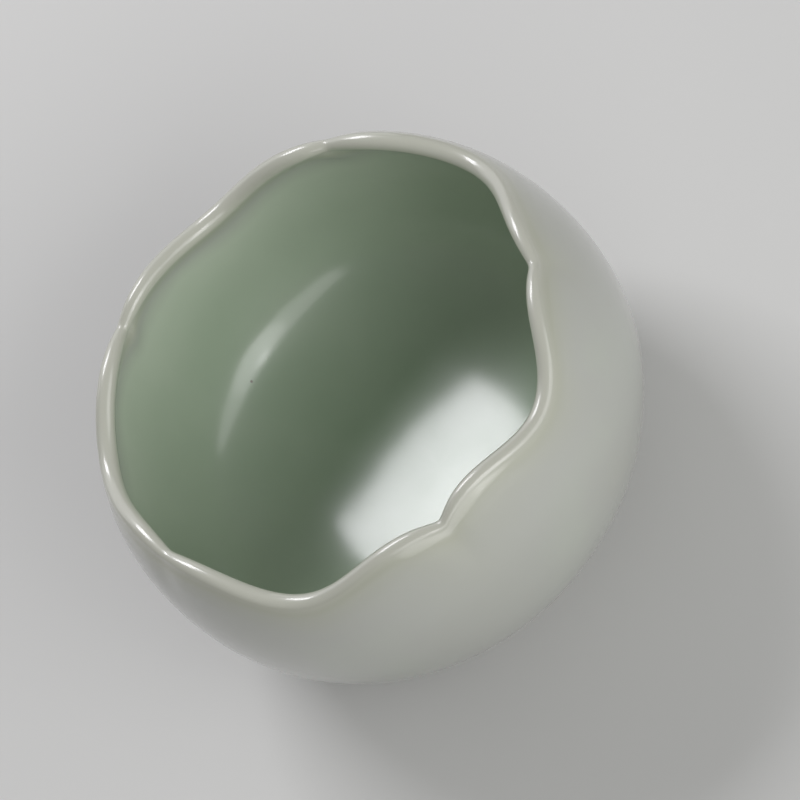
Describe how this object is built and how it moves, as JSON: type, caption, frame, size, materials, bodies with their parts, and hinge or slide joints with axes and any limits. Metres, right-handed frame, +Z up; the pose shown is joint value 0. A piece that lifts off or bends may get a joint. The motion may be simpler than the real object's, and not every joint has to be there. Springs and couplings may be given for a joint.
{
  "type": "brush washer",
  "caption": "Squat rounded porcelain brush washer: a deep bowl with a rolled, petalled lip nicked between the petals, on a low turned foot ring, for rinsing writing brushes.",
  "frame": {"origin": "centre of the foot ring's standing face, on the bowl's axis", "axes": "+Z up along the bowl's axis through the mouth; +X and +Y lie in the standing plane, one nick of the lip is 45.6 degrees round from +X towards +Y, and the picture was taken from the -Y side"},
  "size_m": [0.1249, 0.1249, 0.0727],
  "materials": {
    "glaze": "glossy pale celadon glaze over white porcelain",
    "bare_porcelain": "unglazed, turned and sponged smooth"
  },
  "bodies": {
    "root": {"bowl": "glaze", "foot_ring": "bare_porcelain"}
  },
  "joints": []
}
